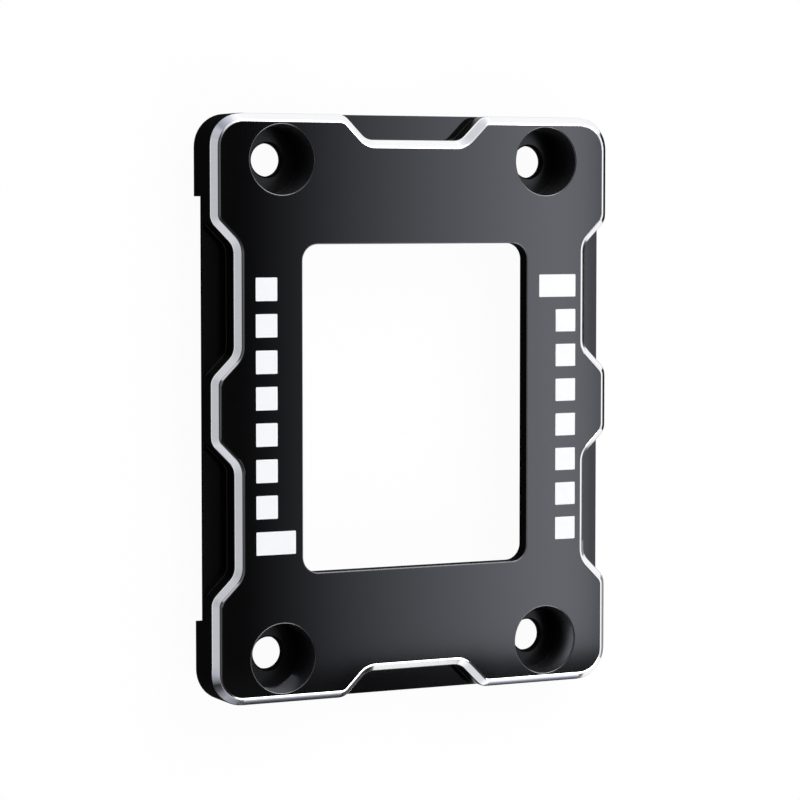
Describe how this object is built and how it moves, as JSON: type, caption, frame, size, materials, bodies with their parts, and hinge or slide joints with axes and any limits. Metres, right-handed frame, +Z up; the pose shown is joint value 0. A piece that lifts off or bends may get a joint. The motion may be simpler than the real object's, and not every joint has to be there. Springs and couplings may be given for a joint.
{
  "type": "cpu socket retention frame",
  "caption": "Flat milled aluminium frame that holds a processor down in its socket, with a central window, notched bevelled edges and counterbored corner screw holes.",
  "frame": {"origin": "centre of the plane that the four feet stand on", "axes": "+Z up out of the face, +Y along the long sides, +X across"},
  "size_m": [0.054, 0.071, 0.006],
  "materials": {
    "anodised_aluminium": "satin black anodised, with a bright cut bevel"
  },
  "bodies": {
    "root": {"retention_frame": "anodised_aluminium"}
  },
  "joints": []
}
